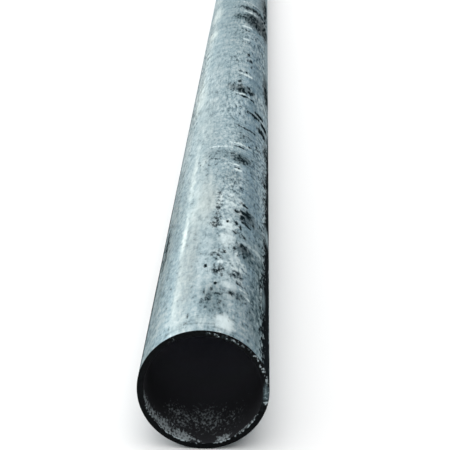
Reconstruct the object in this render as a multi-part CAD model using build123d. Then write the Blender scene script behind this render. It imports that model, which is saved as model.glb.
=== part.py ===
"""Galvanised steel tube: one straight length of welded round tube, sawn square and deburred at both ends.

The tube lies on a level floor along Y. The origin is on the floor, under the middle of the tube.
"""

import os

from build123d import *

# Driving dimensions, in millimetres
outer_diameter = 48.3  # the standard outside size that tube clamps and couplers are made for
wall_thickness = 2.5
tube_length = 1000.0  # a stock length, cut from a longer mill length
rim_edge_break = 0.3  # outer corner of a sawn end, with its burr filed off
bore_edge_break = 0.5  # inner corner of a sawn end, opened with a deburring reamer

# Sizes that follow from them
outer_radius = outer_diameter / 2
bore_diameter = outer_diameter - 2 * wall_thickness

# The tube's cross-section stands across Y, with its centre one radius above the floor.
section_plane = Plane(origin=(0, 0, outer_radius), x_dir=(1, 0, 0), z_dir=(0, 1, 0))


def sawn_length():
    """The plain ring section, drawn out to the stock length about the middle."""
    with BuildPart() as blank:
        with BuildSketch(section_plane):
            Circle(outer_diameter / 2)
            Circle(bore_diameter / 2, mode=Mode.SUBTRACT)
        extrude(amount=tube_length / 2, both=True)
    return blank.part


def deburred(blank):
    """The blank with the sharp outer and inner corners of both sawn ends broken."""
    rims = blank.edges().filter_by(GeomType.CIRCLE).group_by(SortBy.RADIUS)[-1]
    filed = chamfer(rims, length=rim_edge_break)
    mouths = filed.edges().filter_by(GeomType.CIRCLE).group_by(SortBy.RADIUS)[0]
    return chamfer(mouths, length=bore_edge_break)


steel_tube = deburred(sawn_length())
steel_tube.label = "steel_tube"

os.makedirs("parts", exist_ok=True)
export_step(steel_tube, "parts/steel_tube.step")
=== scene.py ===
"""A galvanised steel tube, sawn to length, lying on a pale studio floor and seen from its open mouth."""

import math

import bpy
import mathutils
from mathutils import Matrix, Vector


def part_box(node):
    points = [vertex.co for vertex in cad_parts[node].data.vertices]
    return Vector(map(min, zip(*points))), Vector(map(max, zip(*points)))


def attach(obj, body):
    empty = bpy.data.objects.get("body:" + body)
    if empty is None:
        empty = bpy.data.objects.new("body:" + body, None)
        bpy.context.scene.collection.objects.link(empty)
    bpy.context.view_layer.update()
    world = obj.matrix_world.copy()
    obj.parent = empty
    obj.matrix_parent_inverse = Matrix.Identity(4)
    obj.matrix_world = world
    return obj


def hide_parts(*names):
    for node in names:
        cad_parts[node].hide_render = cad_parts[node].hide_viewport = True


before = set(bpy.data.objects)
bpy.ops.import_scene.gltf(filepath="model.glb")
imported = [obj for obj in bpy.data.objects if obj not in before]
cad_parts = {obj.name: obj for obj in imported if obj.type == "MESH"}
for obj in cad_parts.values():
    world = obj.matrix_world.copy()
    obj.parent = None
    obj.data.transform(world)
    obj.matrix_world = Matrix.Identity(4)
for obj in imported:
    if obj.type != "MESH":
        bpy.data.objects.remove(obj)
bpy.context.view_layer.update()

# The steel tube: strip steel, rolled round, welded along one seam, hot-dip galvanised and sawn to length.
# The saw leaves two flat rings of bare steel; a file breaks their outer corners, a reamer the inner ones.
# Its wall is drawn here as a thin strip in section, and spun round the tube's axis.
tube_low, tube_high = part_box("steel_tube")
outer_radius = (tube_high[0] - tube_low[0]) / 2
tube_length = tube_high[1] - tube_low[1]
axis_height = outer_radius
mouth_y = tube_low[1]
wall_thickness = 0.0025
bore_radius = outer_radius - wall_thickness
rim_edge_break = 0.0003
bore_edge_break = 0.0005
break_segments = 2
facets_round = 160
coarse_cuts = 99  # one ring every 10 mm along the outside, before the finer cuts
end_zone = 0.060  # this near to its ends the outside has a ring every millimetre
end_zone_cuts = 9
middle_cuts = 2  # further in, it has one about every 3 mm
zone_overlap = 0.002  # takes in the ring at the zone's edge
bore_cuts = 24  # one ring every 40 mm along the bore
bore_end_cuts = 19  # and one every 2 mm just inside each mouth
weld_distance = 0.00001  # joins the last facet to the first
smooth_below = math.radians(40)  # corners flatter than this are shaded smooth


def pick_vertices(piece, wanted):
    """Selects, in edit mode, only those of the piece's vertices whose place passes the test."""
    bpy.ops.object.mode_set(mode="EDIT")
    bpy.ops.mesh.select_mode(type="VERT")
    bpy.ops.mesh.select_all(action="DESELECT")
    bpy.ops.object.mode_set(mode="OBJECT")
    for vertex in piece.data.vertices:
        vertex.select = wanted(vertex.co)
    bpy.ops.object.mode_set(mode="EDIT")


bpy.ops.object.select_all(action="DESELECT")
wall_middle = (outer_radius + bore_radius) / 2
bpy.ops.mesh.primitive_plane_add(size=1, location=(wall_middle, 0, axis_height))
tube = bpy.context.object
tube.name = "galvanised_tube"
bpy.ops.transform.resize(value=(wall_thickness, tube_length, 1))
bpy.ops.object.transform_apply(location=True, rotation=True, scale=True)

pick_vertices(tube, lambda place: place.x > wall_middle)
bpy.ops.mesh.bevel(offset=rim_edge_break, affect="VERTICES", segments=break_segments)
pick_vertices(tube, lambda place: place.x < bore_radius + rim_edge_break / 2)
bpy.ops.mesh.bevel(offset=bore_edge_break, affect="VERTICES", segments=break_segments)
# Only the section's outline is kept: with its face in place, the cuts near its two ends
# would be joined to each other along the bore
bpy.ops.mesh.select_all(action="SELECT")
bpy.ops.mesh.delete(type="ONLY_FACE")

skin_radius = outer_radius - rim_edge_break / 20  # only the outside is further from the axis
bore_skin_radius = bore_radius + bore_edge_break / 20  # and only the bore is nearer
end_zone_start = tube_length / 2 - end_zone
pick_vertices(tube, lambda place: place.x > skin_radius)
bpy.ops.mesh.subdivide(number_cuts=coarse_cuts)
pick_vertices(tube, lambda place: place.x > skin_radius and abs(place.y) > end_zone_start)
bpy.ops.mesh.subdivide(number_cuts=end_zone_cuts)
pick_vertices(tube, lambda place: place.x > skin_radius and abs(place.y) < end_zone_start + zone_overlap)
bpy.ops.mesh.subdivide(number_cuts=middle_cuts)
pick_vertices(tube, lambda place: place.x < bore_skin_radius)
bpy.ops.mesh.subdivide(number_cuts=bore_cuts)
pick_vertices(tube, lambda place: place.x < bore_skin_radius and abs(place.y) > end_zone_start)
bpy.ops.mesh.subdivide(number_cuts=bore_end_cuts)
bpy.ops.mesh.select_all(action="SELECT")
bpy.ops.mesh.spin(steps=facets_round, angle=math.tau, center=(0, 0, axis_height), axis=(0, 1, 0))
bpy.ops.mesh.select_all(action="SELECT")
bpy.ops.mesh.remove_doubles(threshold=weld_distance)
bpy.ops.mesh.normals_make_consistent(inside=False)
bpy.ops.object.mode_set(mode="OBJECT")
bpy.ops.object.shade_smooth_by_angle(angle=smooth_below)


def radius_of(place):
    """How far a place is from the tube's axis."""
    return math.hypot(place.x, place.z - axis_height)


# The zinc's own relief: low sags, longer along the tube, where it ran before it set.
# The saw's cut is a little uneven too, and so is the filed corner round it.
sag_stretch = 3  # how much longer than wide a sag is
skin = tube.vertex_groups.new(name="zinc_skin")
skin.add([v.index for v in tube.data.vertices if radius_of(v.co) > skin_radius], 1, "REPLACE")
cut = tube.vertex_groups.new(name="sawn_ring")
cut_depth = tube_length / 2 - rim_edge_break * 0.9
cut.add([v.index for v in tube.data.vertices if abs(v.co.y) > cut_depth], 1, "REPLACE")

bpy.ops.object.empty_add(location=(0, 0, 0))
sag_space = bpy.context.object
sag_space.scale = (1, sag_stretch, 1)
bpy.context.view_layer.update()
bpy.ops.object.select_all(action="DESELECT")
tube.select_set(True)
bpy.context.view_layer.objects.active = tube
for name, group, grain_size, height, along in (
    ("zinc_sags", "zinc_skin", 0.018, 0.00010, "NORMAL"),
    ("saw_waves", "sawn_ring", 0.004, 0.00016, "Y"),
    ("filed_corner", "sawn_ring", 0.0025, 0.00012, "NORMAL"),
):
    relief = bpy.data.textures.new(name, "CLOUDS")
    relief.noise_scale = grain_size
    relief.noise_depth = 3
    press = tube.modifiers.new(name, "DISPLACE")
    press.texture = relief
    press.vertex_group = group
    press.strength = height
    press.mid_level = 0.5
    press.direction = along
    press.texture_coords = "LOCAL"
    if name == "zinc_sags":
        press.texture_coords = "OBJECT"
        press.texture_coords_object = sag_space
    bpy.ops.object.modifier_apply(modifier=name)
bpy.data.objects.remove(sag_space)


# Hot-dip zinc, dulled by weather: to the eye a cool grey, mottled along the tube and paler where handling
# rubbed it, with painted highlights left of the top. A band of white bloom and dark stains lies right of
# the top, soil stains lie underneath, where the tube lay on wet ground, and painted shade darkens both
# flanks and the far half.
def linear(hex_colour):
    """The linear colour of an sRGB hex value, as a shader's socket takes it."""
    parts = [int(hex_colour[at:at + 2], 16) / 255 for at in (1, 3, 5)]
    return [c / 12.92 if c <= 0.04045 else ((c + 0.055) / 1.055) ** 2.4 for c in parts] + [1]


def add_node(tree, kind, settings, sockets):
    """Adds a node with its settings; each socket gets a value, or a link from another node's output."""
    node = tree.nodes.new("ShaderNode" + kind)
    for name, value in settings.items():
        setattr(node, name, value)
    for name, value in sockets.items():
        if isinstance(value, bpy.types.NodeSocket):
            tree.links.new(value, node.inputs[name])
        else:
            node.inputs[name].default_value = value
    return node


# A Mix node's colour sockets, by number because its names repeat
MIX_A, MIX_B, MIX_RESULT = 6, 7, 2
# A smooth step stays in its range by itself; with a clamp on each, the shader would be too large to render
SMOOTH_STEP = {"interpolation_type": "SMOOTHSTEP", "clamp": False}


def add_turn(tree, up):
    """Adds a place and its turn round the axis, in radians: from the top if up is 1, from below if -1."""
    place = add_node(tree, "TexCoord", {}, {}).outputs["Object"]
    axes = add_node(tree, "SeparateXYZ", {}, {"Vector": place})
    height = axes.outputs["Z"]
    over_axis = add_node(tree, "Math", {"operation": "SUBTRACT"}, {0: height, 1: axis_height})
    rise = add_node(tree, "Math", {"operation": "MULTIPLY"}, {0: over_axis.outputs[0], 1: up})
    turn = add_node(tree, "Math", {"operation": "ARCTAN2"}, {0: axes.outputs["X"], 1: rise.outputs[0]})
    return place, axes.outputs, turn.outputs[0]


def add_spots(tree, place, wide, long):
    """Adds a pattern, from about -0.5 to 0.5, with spots of this size round the tube and along it."""
    sized = add_node(tree, "Mapping", {}, {"Vector": place, "Scale": (1 / wide, 1 / long, 1 / wide)})
    spots = add_node(
        tree,
        "TexNoise",
        {},
        {"Vector": sized.outputs["Vector"], "Scale": 1, "Detail": 3, "Roughness": 0.55},
    )
    centred = add_node(tree, "Math", {"operation": "SUBTRACT"}, {0: spots.outputs["Fac"], 1: 0.5})
    return centred.outputs[0]


def add_marks(tree, flat, marks):
    """Adds a soft oval on the unrolled skin for each mark, and gives the strongest at each place.

    A mark is its degrees round the tube, its millimetres from the edge, its half width round the tube
    and its half length across that, in millimetres, and its strength.
    """
    solid_to, gone_at = 0.2, 1.3  # a mark fades out between these shares of its half sizes
    strongest = 0.0
    for degrees, distance, half_width, half_length, strength in marks:
        share = (1000 / half_width, 1000 / half_length, 0)
        middle = (-math.radians(degrees) * outer_radius * share[0], -distance / half_length, 0)
        scaled = add_node(
            tree, "VectorMath", {"operation": "MULTIPLY_ADD"}, {0: flat, 1: share, 2: middle}
        )
        reach = add_node(tree, "VectorMath", {"operation": "LENGTH"}, {0: scaled.outputs["Vector"]})
        oval = add_node(
            tree,
            "MapRange",
            SMOOTH_STEP,
            {
                "Value": reach.outputs["Value"],
                "From Min": gone_at,
                "From Max": solid_to,
                "To Max": strength,
            },
        )
        stronger = add_node(tree, "Math", {"operation": "MAXIMUM"}, {0: oval.outputs[0], 1: strongest})
        strongest = stronger.outputs[0]
    return strongest


def add_stains(tree, colour, marks, pattern, weight, starts, full, most, tint):
    """Adds a tint over a colour where the marks are, broken up by a pattern.

    The pattern counts by its weight. The tint starts at one strength, is full at another, and covers the
    colour by most at the fullest. Gives the new colour, and how far the tint covers the old one.
    """
    broken = add_node(tree, "Math", {"operation": "MULTIPLY_ADD"}, {0: pattern, 1: weight, 2: marks})
    cover = add_node(
        tree,
        "MapRange",
        SMOOTH_STEP,
        {"Value": broken.outputs[0], "From Min": starts, "From Max": full, "To Max": most},
    ).outputs[0]
    stained = add_node(
        tree, "Mix", {"data_type": "RGBA"}, {"Factor": cover, MIX_A: colour, MIX_B: linear(tint)}
    )
    return stained.outputs[MIX_RESULT], cover


zinc = bpy.data.materials.new("weathered_zinc")
zinc.use_nodes = True
tree = zinc.node_tree
zinc_shader = tree.nodes["Principled BSDF"]
place, axes, turn = add_turn(tree, 1)
round_way = add_node(tree, "Math", {"operation": "MULTIPLY"}, {0: turn, 1: outer_radius})
along_way = add_node(tree, "Math", {"operation": "SUBTRACT"}, {0: axes["Y"], 1: mouth_y})
flat = add_node(tree, "CombineXYZ", {}, {"X": round_way.outputs[0], "Y": along_way.outputs[0]})

# The spots' sizes round the tube and along it; the zinc ran along it, so most are longer that way
blotches = add_spots(tree, place, 0.0090, 0.0280)
streaks = add_spots(tree, place, 0.0024, 0.0110)
mottle = add_spots(tree, place, 0.0014, 0.0036)
grain = add_spots(tree, place, 0.0009, 0.0024)
flakes = add_spots(tree, place, 0.0016, 0.0090)
hairlines = add_spots(tree, place, 0.0010, 0.0900)
rings = add_spots(tree, place, 0.0160, 0.0024)
wide_rings = add_spots(tree, place, 0.0240, 0.0110)

# The marks' edges wander by a few millimetres
wander = (0.0016, 0.0036, 0)
wobble_size = 0.004
wobble = add_node(tree, "TexNoise", {}, {"Vector": place, "Scale": 1 / wobble_size, "Detail": 3})
mean_colour = (0.5, 0.5, 0.5)
off_middle = add_node(
    tree, "VectorMath", {"operation": "SUBTRACT"}, {0: wobble.outputs["Color"], 1: mean_colour}
)
ragged = add_node(
    tree,
    "VectorMath",
    {"operation": "MULTIPLY_ADD"},
    {0: off_middle.outputs[0], 1: wander, 2: flat.outputs[0]},
).outputs[0]

# Far from the mouth the fine mottling would be too fine to show, so it turns into coarser flakes there
far = add_node(
    tree,
    "MapRange",
    SMOOTH_STEP,
    {"Value": along_way.outputs[0], "From Min": 0.24, "From Max": 0.32},
)
farness = far.outputs[0]
mottle = add_node(tree, "Mix", {"data_type": "FLOAT"}, {0: farness, 2: mottle, 3: flakes}).outputs[0]
rings = add_node(tree, "Mix", {"data_type": "FLOAT"}, {0: farness, 2: rings, 3: wide_rings}).outputs[0]

# Plain zinc, with its mottling strongest in the worn bands
worn_bands = (
    (24, 400, 15, 700, 1.0),
    (-60, 260, 8, 600, 0.95),
    (56, 200, 9, 500, 0.9),
    (-135, 500, 14, 900, 0.9),
)
worn = add_marks(tree, ragged, worn_bands)
ringed_zones = (
    (54, 290, 12, 170, 1.5),
    (45, 600, 16, 260, 1.5),
    (-20, 560, 24, 340, 0.7),
    (0, 9, 34, 15, 1.0),
)
ringed = add_marks(tree, ragged, ringed_zones)
scored_zones = (
    (-61, 120, 7, 170, 1.3),
    (-57, 400, 8, 260, 1.0),
    (-30, 370, 10, 90, 0.5),
    (52, 125, 11, 55, 1.0),
)
scored = add_marks(tree, ragged, scored_zones)
spread = 0.0
for pattern, weight in (
    (blotches, 0.45),
    (streaks, 0.45),
    (mottle, 0.9),
    (grain, 0.8),
    (hairlines, 0.3),
    (rings, ringed),
    (flakes, scored),
):
    wider = add_node(tree, "Math", {"operation": "MULTIPLY_ADD"}, {0: pattern, 1: weight, 2: spread})
    spread = wider.outputs[0]
contrast = add_node(tree, "MapRange", {}, {"Value": worn, "To Min": 0.65, "To Max": 1.15})
middle_tone = 0.5
tone = add_node(
    tree, "Math", {"operation": "MULTIPLY_ADD"}, {0: spread, 1: contrast.outputs[0], 2: middle_tone}
).outputs[0]
clear_of_dark = add_node(tree, "MapRange", {}, {"Value": tone, "From Min": 0.1, "From Max": middle_tone})
colour = add_node(
    tree,
    "Mix",
    {"data_type": "RGBA"},
    {"Factor": clear_of_dark.outputs[0], MIX_A: linear("#2F464D"), MIX_B: linear("#92A6AD")},
).outputs[MIX_RESULT]
paler = add_node(tree, "MapRange", {}, {"Value": tone, "From Min": middle_tone, "From Max": 0.9})
colour = add_node(
    tree,
    "Mix",
    {"data_type": "RGBA"},
    {"Factor": paler.outputs[0], MIX_A: colour, MIX_B: linear("#CBD2D1")},
).outputs[MIX_RESULT]

# Blue-grey patina on the right, where the zinc stayed damp
bluish_zones = (
    (46, 360, 14, 520, 0.46),
    (28, 300, 12, 60, 0.30),
)
# Dull zones, dark teal: dark patches round the stains, and painted shade on both flanks and over the far
# half of the length
dull_zones_and_shade = (
    (-61, 105, 3.5, 50, 0.85),
    (-60, 95, 10, 170, 0.53),
    (-44, 60, 5, 90, 0.30),
    (-77, 250, 7, 500, 0.70),
    (-60, 560, 7, 300, 0.34),
    (48, 400, 11, 700, 0.42),
    (58, 60, 7, 90, 0.76),
    (-76, 60, 7, 140, 0.90),
    (-59, 310, 4, 70, 0.36),
    (54, 45, 9, 70, 0.66),
    (7, 28, 8, 22, 0.52),
    (1, 88, 3, 26, 0.30),
    (28, 37, 9, 8, 0.43),
    (46, 82, 11, 17, 0.66),
    (57, 108, 9, 50, 0.56),
    (68, 405, 8, 60, 0.66),
    (38, 128, 6, 18, 0.55),
    (-42, 125, 5, 90, 0.36),
    (16, 175, 9, 16, 0.34),
    (25, 209, 11, 14, 0.58),
    (-2, 211, 12, 12, 0.42),
    (46, 212, 9, 14, 0.34),
    (30, 250, 11, 22, 0.32),
    (67, 258, 6, 24, 0.60),
    (-67, 195, 9, 45, 0.52),
    (24, 352, 12, 12, 0.43),
    (5, 352, 7, 16, 0.37),
    (52, 470, 10, 110, 0.34),
    (40, 572, 18, 42, 0.78),
    (3, 575, 8, 22, 0.65),
    (35, 618, 22, 16, 0.60),
    (-5, 640, 42, 280, 0.35),
    (62, 680, 10, 70, 0.50),
    (-2.5, 380, 0.9, 110, 0.36),
)
# Slate-dark patches round the densest stains
slate_patches = (
    (35, 87, 6, 7, 0.70),
    (46, 80, 8, 12, 0.30),
    (37, 127, 8, 12, 0.70),
    (44, 124, 7, 9, 0.45),
    (44, 550, 10, 18, 0.50),
    (27, 207, 8, 11, 0.55),
    (30, 250, 9, 16, 0.18),
    (22, 348, 13, 16, 0.55),
    (68, 400, 6, 50, 0.60),
    (33, 572, 11, 32, 0.88),
    (50, 578, 13, 48, 0.86),
    (34, 617, 15, 10, 0.72),
    (62, 680, 9, 60, 0.66),
)
# Thin dust where the tube was handled, left of the top
dusty_zones = (
    (-23, 70, 7, 110, 0.46),
    (-41, 85, 6, 110, 0.22),
    (-13, 140, 9, 60, 0.40),
    (-28, 250, 13, 300, 0.32),
    (-58, 330, 8, 480, 0.36),
)
# Rubbed zones and painted highlights, pale: one bright line left of the top, partly a rubbed streak and
# partly painted highlight, and round it and along the left, painted highlights where the soft boxes' sheen
# falls
rubbed_and_highlight_zones = (
    (-29.5, 35, 2.2, 45, 0.45),
    (-31.3, 103, 1.7, 42, 0.77),
    (-32.5, 185, 2.4, 80, 0.60),
    (-17, 140, 12, 60, 0.50),
    (-26, 265, 6, 60, 0.35),
    (-38, 285, 5, 90, 0.32),
    (-46, 350, 7, 70, 0.62),
    (-46, 470, 6, 260, 0.42),
    (-45, 530, 8, 32, 0.72),
    (-45, 612, 8, 46, 0.72),
    (-45, 695, 9, 50, 0.55),
    (-44, 215, 7, 100, 0.26),
    (-8, 8, 15, 13, 0.36),
    (-25, 200, 5, 40, 0.40),
)
# Smooth patches, cool and pale, along the top and on the right
smooth_patches = (
    (-5, 75, 6, 75, 0.44),
    (15, 70, 6, 90, 0.42),
    (59, 57, 1.2, 16, 0.60),
    (18, 9.5, 4.8, 10, 1.12),
    (47, 95.5, 11, 3, 0.68),
    (18, 44, 4.5, 4.5, 0.75),
    (14, 91, 5.0, 14, 0.78),
    (24, 258, 10, 26, 0.24),
    (56, 343, 10, 22, 0.40),
)
# White bloom left by damp, broken up by the mottling
pale_bloom = (
    (10, 66, 2, 3, 1.0),
    (27, 66, 7, 11, 0.75),
    (25, 77, 1.2, 6, 1.0),
    (14, 91, 5.5, 13, 0.66),
    (14, 109, 6, 12, 0.95),
    (16, 140, 9, 26, 0.72),
    (50, 60, 8, 80, 0.32),
    (54, 240, 9, 130, 0.42),
    (54, 343, 11, 24, 0.62),
    (36, 44.5, 4, 1.4, 0.90),
    (42, 40, 3.5, 1.3, 0.85),
    (20, 337.5, 8, 2.2, 1.1),
    (-5, 295, 12, 36, 0.42),
    (52, 470, 9, 90, 0.40),
    (21, 188.5, 3, 2.2, 1.3),
    (18, 196, 4.5, 2.2, 1.3),
    (-4, 223.5, 9, 2.4, 0.95),
    (22, 233, 9, 3, 1.1),
    (18, 166, 9, 17, 0.45),
    (5, 255, 10, 25, 0.35),
    (16, 310, 10, 24, 0.46),
    (18, 290, 12, 12, 0.5),
    (-20, 330, 10, 60, 0.3),
    (-27, 374, 4, 5, 0.75),
    (-36, 392, 4, 8, 0.60),
    (25, 388, 8, 4, 1.1),
    (10, 430, 8, 30, 0.3),
    (20, 495, 4, 4, 1.1),
    (34, 505, 6, 10, 0.50),
    (20, 512, 4, 3, 0.7),
    (20, 540, 7, 4, 1.1),
    (24, 600, 10, 4, 1.0),
    (24, 641, 10, 4, 0.8),
)
# Dark stains where damp lay on the zinc in storage, and painted shade low along the left edge
dark_stains_and_edge_shade = (
    (-17, 5, 1.5, 4, 0.7),
    (-15, 14, 0.9, 4, 0.6),
    (6, 29, 6, 15, 0.60),
    (28, 37, 8, 5, 0.75),
    (7, 43, 0.9, 2.2, 1.4),
    (31, 50, 4, 4, 0.8),
    (26, 56, 5, 9, 0.85),
    (8, 57, 4, 7, 0.95),
    (-4.5, 60, 1.1, 2.2, 1.15),
    (5, 74, 3.5, 9, 0.72),
    (13, 77, 1.0, 2.2, 1.4),
    (33, 82, 6, 8, 0.7),
    (22.5, 84, 1.5, 2.5, 1.2),
    (33, 90, 6, 4.5, 1.0),
    (1, 107, 2.6, 7, 1.00),
    (3.5, 116, 2.0, 6, 0.80),
    (-61, 108, 2.8, 34, 0.92),
    (24, 103, 2.5, 3, 0.9),
    (31, 101, 3, 3, 0.9),
    (28, 111, 1.6, 4, 1.35),
    (14, 113, 0.9, 2.5, 1.1),
    (24, 114.5, 1.5, 4, 1.2),
    (37, 117, 2, 2.5, 1.3),
    (29, 122, 1.8, 4, 1.25),
    (33, 119, 3, 2.8, 1.25),
    (2.5, 125, 2.2, 30, 0.76),
    (30, 125.5, 2.4, 5, 1.15),
    (41, 122.5, 4, 3.5, 0.95),
    (34, 130, 6, 4.5, 1.25),
    (37, 134.5, 3.5, 2.6, 0.95),
    (3, 133, 1.7, 6, 0.88),
    (42, 131, 3, 6, 0.8),
    (58, 131, 5, 8, 0.6),
    (70, 116, 5, 5, 1.0),
    (23, 128.5, 2.2, 2.2, 1.2),
    (3, 146, 2.0, 8, 0.92),
    (29, 142.5, 2.2, 3.5, 1.3),
    (33, 140.5, 2.8, 2.6, 1.3),
    (18, 168, 10, 17, 0.46),
    (66, 177, 4, 6, 0.8),
    (20, 191.5, 1.3, 1.8, 1.3),
    (65, 200, 5, 8, 1.0),
    (25, 207, 6, 9, 1.0),
    (14, 212, 5, 8, 0.7),
    (36, 210, 5, 8, 0.7),
    (22, 227.5, 6, 2, 1.0),
    (35, 235, 1.8, 2.5, 1.1),
    (50, 243, 4, 5, 0.8),
    (69, 258, 6, 18, 1.0),
    (30, 250, 7, 16, 0.55),
    (34, 266.5, 9, 2.6, 1.1),
    (17, 268, 2, 3, 1.0),
    (57, 284, 7, 8.5, 1.36),
    (18, 296, 10, 36, 0.44),
    (30, 302, 1.2, 6, 0.95),
    (18, 308, 1.5, 2.6, 1.1),
    (64, 301, 7, 7.5, 1.45),
    (42, 303, 5.6, 5.6, 1.34),
    (51, 311.5, 6.5, 6, 1.38),
    (25, 333, 10, 3.5, 1.1),
    (50, 348, 4, 4, 0.5),
    (0, 350, 4, 12, 0.66),
    (8, 350, 5, 13, 0.66),
    (31, 348, 3.2, 7, 1.2),
    (36, 350, 2.6, 7, 1.15),
    (29, 357, 2, 6, 1.1),
    (18, 347, 3.2, 9, 1.2),
    (16, 357, 2.6, 9, 1.1),
    (22, 343, 2.2, 5, 1.2),
    (14, 366, 2.2, 7, 1.0),
    (71, 386, 7, 40, 1.15),
    (21, 395, 7, 4, 0.8),
    (5, 425, 6, 28, 0.42),
    (29, 432, 3.5, 10, 1.05),
    (27, 446, 3, 8, 0.85),
    (31, 418, 2.5, 8, 0.80),
    (33, 470, 4, 30, 0.45),
    (20, 485, 4, 4, 0.9),
    (36, 516, 5, 14, 0.52),
    (20, 527, 5, 4, 0.9),
    (44, 549, 9, 16, 0.75),
    (42, 566, 11, 34, 0.80),
    (2, 575, 5, 20, 0.65),
    (15, 575, 6, 24, 0.82),
    (30, 578, 9, 26, 0.90),
    (65, 575, 8, 48, 1.0),
    (8, 613, 8, 6, 0.7),
    (30, 615, 16, 11, 1.0),
    (60, 615, 10, 16, 1.0),
    (35, 633, 12, 8, 0.7),
    (66, 660, 6, 70, 1.15),
    (25, 720, 9, 26, 1.0),
    (5, 770, 4, 16, 0.9),
    (20, 830, 8, 20, 0.9),
    (32, 915, 9, 24, 1.0),
    # painted shade low along the left edge
    (-77, 110, 5, 170, 1.15),
    (-8, 200, 9, 24, 0.42),
    (52, 470, 9, 90, 0.42),
    # painted shade low along the left edge
    (-78, 430, 4.5, 300, 0.80),
    (48, 60, 8, 80, 0.38),
    (54, 230, 9, 140, 0.42),
    (-120, 150, 8, 25, 0.9),
    (-140, 320, 10, 30, 0.9),
    (-100, 420, 6, 40, 0.8),
    (-115, 720, 8, 30, 0.9),
    (-135, 880, 9, 26, 1.0),
)
# Each layer: its marks, the pattern that breaks them up and its weight, the strengths at which it starts
# and is full, and its tint
# The dull layer is partly painted shade, the rubbed layer partly painted highlight, and the dark stains
# partly painted shade
for marks, pattern, weight, starts, full, tint in (
    (bluish_zones, streaks, 0.70, 0.04, 1.00, "#7399B2"),
    (dull_zones_and_shade, blotches, 0.35, 0.04, 1.00, "#153D45"),
    (slate_patches, blotches, 0.70, 0.04, 1.10, "#18242A"),
    (dusty_zones, blotches, 0.35, 0.04, 1.00, "#94958F"),
    (rubbed_and_highlight_zones, streaks, 0.80, 0.10, 1.30, "#DCE4DF"),
    (smooth_patches, streaks, 0.80, 0.10, 1.30, "#D7E3E4"),
    (pale_bloom, mottle, 2.00, 0.25, 1.35, "#D8E4E5"),
    (dark_stains_and_edge_shade, mottle, -3.00, 0.30, 1.25, "#0D181C"),
):
    strongest = add_marks(tree, ragged, marks)
    colour, stain_share = add_stains(tree, colour, strongest, pattern, weight, starts, full, 1, tint)

# Soil and painted shade: a dense dark band low on the right, which tapers off along the tube, a thin wash
# in the same place along the whole length, and two thin washes low on the left are painted shade; the wide
# band underneath is soil.
# Each is its middle and its half width in degrees, its strength, and how much it narrows from above
taper = add_node(
    tree,
    "MapRange",
    SMOOTH_STEP,
    {"Value": along_way.outputs[0], "From Min": 0.02, "From Max": 0.34, "To Max": math.radians(14)},
)
fading = add_node(
    tree,
    "MapRange",
    {},
    {"Value": along_way.outputs[0], "From Min": 0.50, "From Max": 0.25, "To Max": 0.987},
)
soil_and_shade_bands = (
    (73, 13.8, fading.outputs[0], taper.outputs[0]),
    (73, 13, 0.32, 0.0),
    (-79, 9, 0.26, 0.0),
    (-87, 6, 0.45, 0.0),
    (180, 60, 0.30, 0.0),
)
band_softness = math.radians(4)
soil_and_shade = 0.0
for middle, half_width, most, narrowing in soil_and_shade_bands:
    half = add_node(tree, "Math", {"operation": "MULTIPLY"}, {0: narrowing, 1: 0.5}).outputs[0]
    offset = add_node(tree, "Math", {"operation": "SUBTRACT"}, {0: turn, 1: math.radians(middle)})
    lowered = add_node(tree, "Math", {"operation": "SUBTRACT"}, {0: offset.outputs[0], 1: half})
    cosine = add_node(tree, "Math", {"operation": "COSINE"}, {0: lowered.outputs[0]})
    apart = add_node(tree, "Math", {"operation": "ARCCOSINE"}, {0: cosine.outputs[0]})
    distance = add_node(tree, "Math", {"operation": "ADD"}, {0: apart.outputs[0], 1: half}).outputs[0]
    for pattern, weight in ((blotches, 0.30), (mottle, 0.45), (grain, 0.55)):
        distance = add_node(
            tree, "Math", {"operation": "MULTIPLY_ADD"}, {0: pattern, 1: weight, 2: distance}
        ).outputs[0]
    starts = math.radians(half_width) + band_softness
    full = math.radians(half_width) - band_softness
    band = add_node(
        tree,
        "MapRange",
        SMOOTH_STEP,
        {"Value": distance, "From Min": starts, "From Max": full, "To Max": most},
    )
    soil_and_shade = add_node(tree, "Math", {"operation": "MAXIMUM"}, {0: band.outputs[0], 1: soil_and_shade}).outputs[0]
# Two spots at its edge are left lighter, where the painted shade is thinner
thinned_spots = (
    (71, 135, 5, 11, 0.62),
    (63, 57, 2.4, 12, 0.70),
)
thinned = add_marks(tree, ragged, thinned_spots)
kept_share = add_node(tree, "Math", {"operation": "SUBTRACT"}, {0: 1.0, 1: thinned}).outputs[0]
soil_and_shade = add_node(tree, "Math", {"operation": "MULTIPLY"}, {0: soil_and_shade, 1: kept_share}).outputs[0]
# The soil and the painted shade turn the zinc near black
colour = add_node(
    tree, "Mix", {"data_type": "RGBA"}, {"Factor": soil_and_shade, MIX_A: colour, MIX_B: linear("#0B0E11")}
).outputs[MIX_RESULT]
tree.links.new(colour, zinc_shader.inputs["Base Color"])

covered = add_node(tree, "Math", {"operation": "MAXIMUM"}, {0: stain_share, 1: soil_and_shade})
metal = add_node(tree, "MapRange", {}, {"Value": covered.outputs[0], "To Min": 0.8, "To Max": 0.0})
tree.links.new(metal.outputs[0], zinc_shader.inputs["Metallic"])
zinc_shader.inputs["Specular IOR Level"].default_value = 0.0
zinc_shader.inputs["Specular Tint"].default_value = linear("#E6F1F3")
roughness = add_node(
    tree,
    "MapRange",
    {},
    {"Value": tone, "From Min": 0.2, "From Max": 0.8, "To Min": 0.51, "To Max": 0.38},
)
tree.links.new(roughness.outputs[0], zinc_shader.inputs["Roughness"])
grain_height = 0.00012
bump = add_node(tree, "Bump", {}, {"Height": spread, "Strength": 0.35, "Distance": grain_height})
tree.links.new(bump.outputs["Normal"], zinc_shader.inputs["Normal"])
tube.data.materials.append(zinc)

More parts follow.
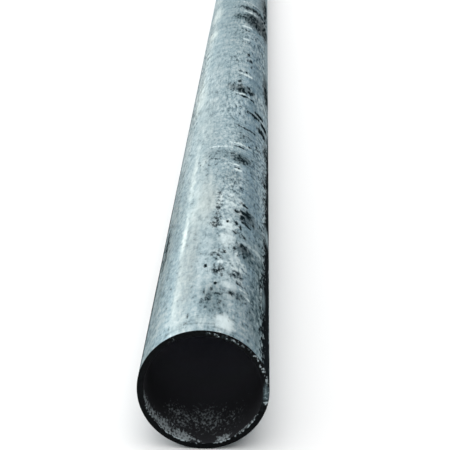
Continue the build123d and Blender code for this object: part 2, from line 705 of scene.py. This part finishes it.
# The sawn rings are the tube's own wall, cut square: bare steel that has gone dark with oxide. To the eye
# they are nearly black and dull, with fine saw lines across, and flecks of bright metal and smeared zinc.
sawn = bpy.data.materials.new("sawn_steel")
sawn.use_nodes = True
tree = sawn.node_tree
sawn_shader = tree.nodes["Principled BSDF"]
place, axes, turn = add_turn(tree, -1)
round_way = add_node(tree, "Math", {"operation": "MULTIPLY"}, {0: turn, 1: outer_radius})
over_axis = add_node(tree, "Math", {"operation": "SUBTRACT"}, {0: axes["Z"], 1: axis_height})
across = add_node(tree, "CombineXYZ", {}, {"X": axes["X"], "Y": over_axis.outputs[0]})
radius = add_node(tree, "VectorMath", {"operation": "LENGTH"}, {0: across.outputs[0]})
from_axis = radius.outputs["Value"]
wall_way = add_node(tree, "Math", {"operation": "SUBTRACT"}, {0: from_axis, 1: bore_radius})
flat_ring = add_node(tree, "CombineXYZ", {}, {"X": round_way.outputs[0], "Y": wall_way.outputs[0]})
flat = flat_ring.outputs[0]
# Degrees from the bottom of the ring, and millimetres out from the bore
bright_flecks = (
    (168, 1.2, 5, 1.2, 0.72),
    (-152, 1.0, 3, 1.0, 0.60),
    (154, 1.5, 4, 1.2, 0.60),
    (140, 1.6, 7, 1.2, 0.62),
    (124, 1.9, 4, 0.9, 0.75),
    (112, 1.7, 3.5, 1.0, 0.90),
    (101, 1.9, 4, 0.9, 0.95),
    (89, 1.4, 4, 1.6, 0.60),
    (79, 1.6, 1.6, 1.2, 1.10),
    (50, 0.2, 14, 0.6, 0.80),
    (18, 0.2, 6, 0.8, 0.90),
    (-28, 0.2, 16, 0.7, 0.85),
    (-66, 0.3, 9, 0.6, 0.60),
)
worn_spots = (
    (88, 1.3, 6, 1.7, 0.84),
    (160, 1.3, 12, 1.2, 0.40),
)
fleck_spots = add_spots(tree, place, 0.0010, 0.0010)
oxide = add_node(tree, "MapRange", {}, {"Value": fleck_spots, "From Min": -0.15, "From Max": 0.2})
dark_steel = add_node(
    tree,
    "Mix",
    {"data_type": "RGBA"},
    {"Factor": oxide.outputs[0], MIX_A: linear("#060708"), MIX_B: linear("#131618")},
).outputs[MIX_RESULT]
worn = add_marks(tree, flat, worn_spots)
colour, _ = add_stains(tree, dark_steel, worn, fleck_spots, 1.2, 0.20, 1.10, 1, "#55666B")
flecks = add_marks(tree, flat, bright_flecks)
colour, _ = add_stains(tree, colour, flecks, fleck_spots, 3.2, 0.65, 1.15, 1, "#A2AFB3")
tree.links.new(colour, sawn_shader.inputs["Base Color"])
sawn_shader.inputs["Metallic"].default_value = 0.2
sawn_shader.inputs["Specular IOR Level"].default_value = 0.05
sawn_shader.inputs["Roughness"].default_value = 0.7
# A Wave texture at scale 1 has a band every 0.314 m; real saw lines are finer, and would not show
saw_pitch = 0.0009
saw_depth = 0.00006
wave_length = 0.314
saw_lines = add_node(
    tree,
    "TexWave",
    {"bands_direction": "Z"},
    {"Vector": place, "Scale": wave_length / saw_pitch, "Distortion": 2},
)
saw_height = saw_lines.outputs["Fac"]
bump = add_node(tree, "Bump", {}, {"Height": saw_height, "Strength": 0.5, "Distance": saw_depth})
tree.links.new(bump.outputs["Normal"], sawn_shader.inputs["Normal"])
tube.data.materials.append(sawn)

# The bore is the inside of the rolled strip, still covered with the mill scale of its hot rolling. To the
# eye it is blue-black and dull, with a splash of zinc and specks of it in each mouth; further in its
# colour is paler, painted light where the bore lies in shade.
mill_scale = bpy.data.materials.new("mill_scale")
mill_scale.use_nodes = True
tree = mill_scale.node_tree
scale_shader = tree.nodes["Principled BSDF"]
place, axes, turn = add_turn(tree, -1)
round_way = add_node(tree, "Math", {"operation": "MULTIPLY"}, {0: turn, 1: outer_radius})
half_length = tube_length / 2
from_middle = add_node(tree, "Math", {"operation": "ABSOLUTE"}, {0: axes["Y"]}).outputs[0]
depth = add_node(tree, "Math", {"operation": "SUBTRACT"}, {0: half_length, 1: from_middle})
flat_bore = add_node(tree, "CombineXYZ", {}, {"X": round_way.outputs[0], "Y": depth.outputs[0]})
flat = flat_bore.outputs[0]
# Degrees from the bottom of the bore, and millimetres in from the nearer mouth
zinc_splash = (
    (-80, 1.4, 6, 2.6, 0.95),
    (-62, 2.4, 10, 5.0, 1.02),
    (-42, 3.2, 12, 6.5, 1.06),
    (-22, 2.5, 8, 5.0, 1.20),
    (-6, 1.2, 3, 2.0, 0.80),
    (20, 2.0, 6, 3.5, 1.05),
    (50, 0.6, 12, 1.4, 0.85),
)
zinc_specks = (
    (-26, 15, 11, 14, 0.80),
    (3, 18, 13, 15, 0.80),
    (27, 15, 11, 12, 0.60),
)
speck_spots = add_spots(tree, place, 0.0008, 0.0017)
# Painted light: the scale is made paler further in, where less light reaches
paler_deeper_painted_light = add_node(
    tree,
    "MapRange",
    SMOOTH_STEP,
    {"Value": depth.outputs[0], "From Min": 0.012, "From Max": 0.100},
)
colour = add_node(
    tree,
    "Mix",
    {"data_type": "RGBA"},
    {"Factor": paler_deeper_painted_light.outputs[0], MIX_A: linear("#2A2B2E"), MIX_B: linear("#A9ACB9")},
).outputs[MIX_RESULT]
for marks, most in ((zinc_specks, 0.48), (zinc_splash, 0.60)):
    strongest = add_marks(tree, flat, marks)
    colour, _ = add_stains(tree, colour, strongest, speck_spots, 3.0, 0.60, 1.25, most, "#BAC6CA")
tree.links.new(colour, scale_shader.inputs["Base Color"])
scale_shader.inputs["Metallic"].default_value = 0.1
scale_shader.inputs["Specular IOR Level"].default_value = 0.1
scale_shader.inputs["Roughness"].default_value = 0.7
speck_height = 0.00015
bump = add_node(tree, "Bump", {}, {"Height": speck_spots, "Strength": 0.6, "Distance": speck_height})
tree.links.new(bump.outputs["Normal"], scale_shader.inputs["Normal"])
tube.data.materials.append(mill_scale)

# The outside keeps the first material, zinc; the rings and the bore take the second and the third
SAWN, SCALE = 1, 2
facet_sag = 0.0001  # a flat facet's middle is a little off the bore's true radius
for face in tube.data.polygons:
    if radius_of(face.center) < bore_skin_radius + facet_sag:
        face.material_index = SCALE
    elif abs(face.center.y) > cut_depth:
        face.material_index = SAWN

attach(tube, "root")
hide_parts("steel_tube")

# The studio floor: a wide sheet of matt white paper, laid flat, for the tube to lie on.
# It is plain and pale, and rough enough to show no gloss.
bpy.ops.object.select_all(action="DESELECT")
bpy.ops.mesh.primitive_plane_add(size=30, location=(0, 0, 0))
floor = bpy.context.object
floor.name = "studio_floor"
floor_paper = bpy.data.materials.new("matt_white_paper")
floor_paper.use_nodes = True
floor_shader = floor_paper.node_tree.nodes["Principled BSDF"]
floor_shader.inputs["Base Color"].default_value = linear("#EAEAEA")
floor_shader.inputs["Roughness"].default_value = 0.9
floor.data.materials.append(floor_paper)

# The studio light: a soft box at the left, and a larger, weaker one behind, both facing the near half of
# the tube. The white room round it glows most from behind, from overhead and from the front left.
light_target = mathutils.Vector((0, -0.2, 0))


def add_soft_box(name, place, width, height, watts):
    """Adds a soft box, an area light that faces the near half of the tube."""
    bpy.ops.object.light_add(type="AREA", location=place)
    light = bpy.context.object
    light.name = name
    light.data.shape = "RECTANGLE"
    light.data.size = width
    light.data.size_y = height
    light.data.energy = watts
    light.visible_camera = False
    light.rotation_euler = (light_target - light.location).to_track_quat("-Z", "Y").to_euler()


add_soft_box("key_light", (-0.7, 0.35, 0.55), 0.7, 0.3, 2.7)
add_soft_box("window_light", (-0.9, 1.3, 0.5), 1.5, 0.9, 1.05)

world = bpy.data.worlds.new("studio")
bpy.context.scene.world = world
world.use_nodes = True
room = world.node_tree
facing = add_node(room, "TexCoord", {}, {}).outputs["Generated"]
# Each glow: where it comes from, how near to that direction it starts, as a cosine, and its strength
glow = 0.02
for direction, edge, strength in (
    ((-0.2, 0.9, 0.4), 0.2, 0.67),
    ((-0.2, 0.5, 0.85), 0.5, 0.47),
    ((0.1, 0.0, 1.0), 0.65, 1.75),
    ((-0.3, -0.7, 0.7), 0.0, 0.80),
):
    towards = mathutils.Vector(direction).normalized()
    nearness = add_node(room, "VectorMath", {"operation": "DOT_PRODUCT"}, {0: facing, 1: towards})
    lobe = add_node(
        room,
        "MapRange",
        SMOOTH_STEP,
        {"Value": nearness.outputs["Value"], "From Min": edge, "From Max": 1, "To Max": strength},
    )
    glow = add_node(room, "Math", {"operation": "ADD"}, {0: lobe.outputs[0], 1: glow}).outputs[0]
seen = add_node(room, "LightPath", {}, {}).outputs["Is Camera Ray"]
shown = add_node(room, "Mix", {"data_type": "FLOAT"}, {0: seen, 2: glow, 3: 1.0})
background = room.nodes["Background"]
background.inputs["Color"].default_value = linear("#FFFFFF")
room.links.new(shown.outputs[0], background.inputs["Strength"])
bpy.context.scene.view_settings.view_transform = "Standard"

# The camera stands before the mouth and a little above it. Its place, its tilt and its long lens were
# solved from the tube's two edges and its mouth in a square picture of 450 by 450 pixels.
image_side = 450
focal_pixels = 1230.2
sensor_side = 36
camera_place = (0.0203, mouth_y - 0.3955, axis_height + 0.2139)
camera_pitch = math.radians(20.70)
camera_heading = math.radians(1.784)
camera_turn = (math.pi / 2 - camera_pitch, 0, camera_heading)
bpy.ops.object.camera_add(location=camera_place, rotation=camera_turn)
camera = bpy.context.object
camera.name = "photo_camera"
camera.data.sensor_width = sensor_side
camera.data.lens = sensor_side * focal_pixels / image_side
camera.data.clip_start = 0.01
bpy.context.scene.camera = camera
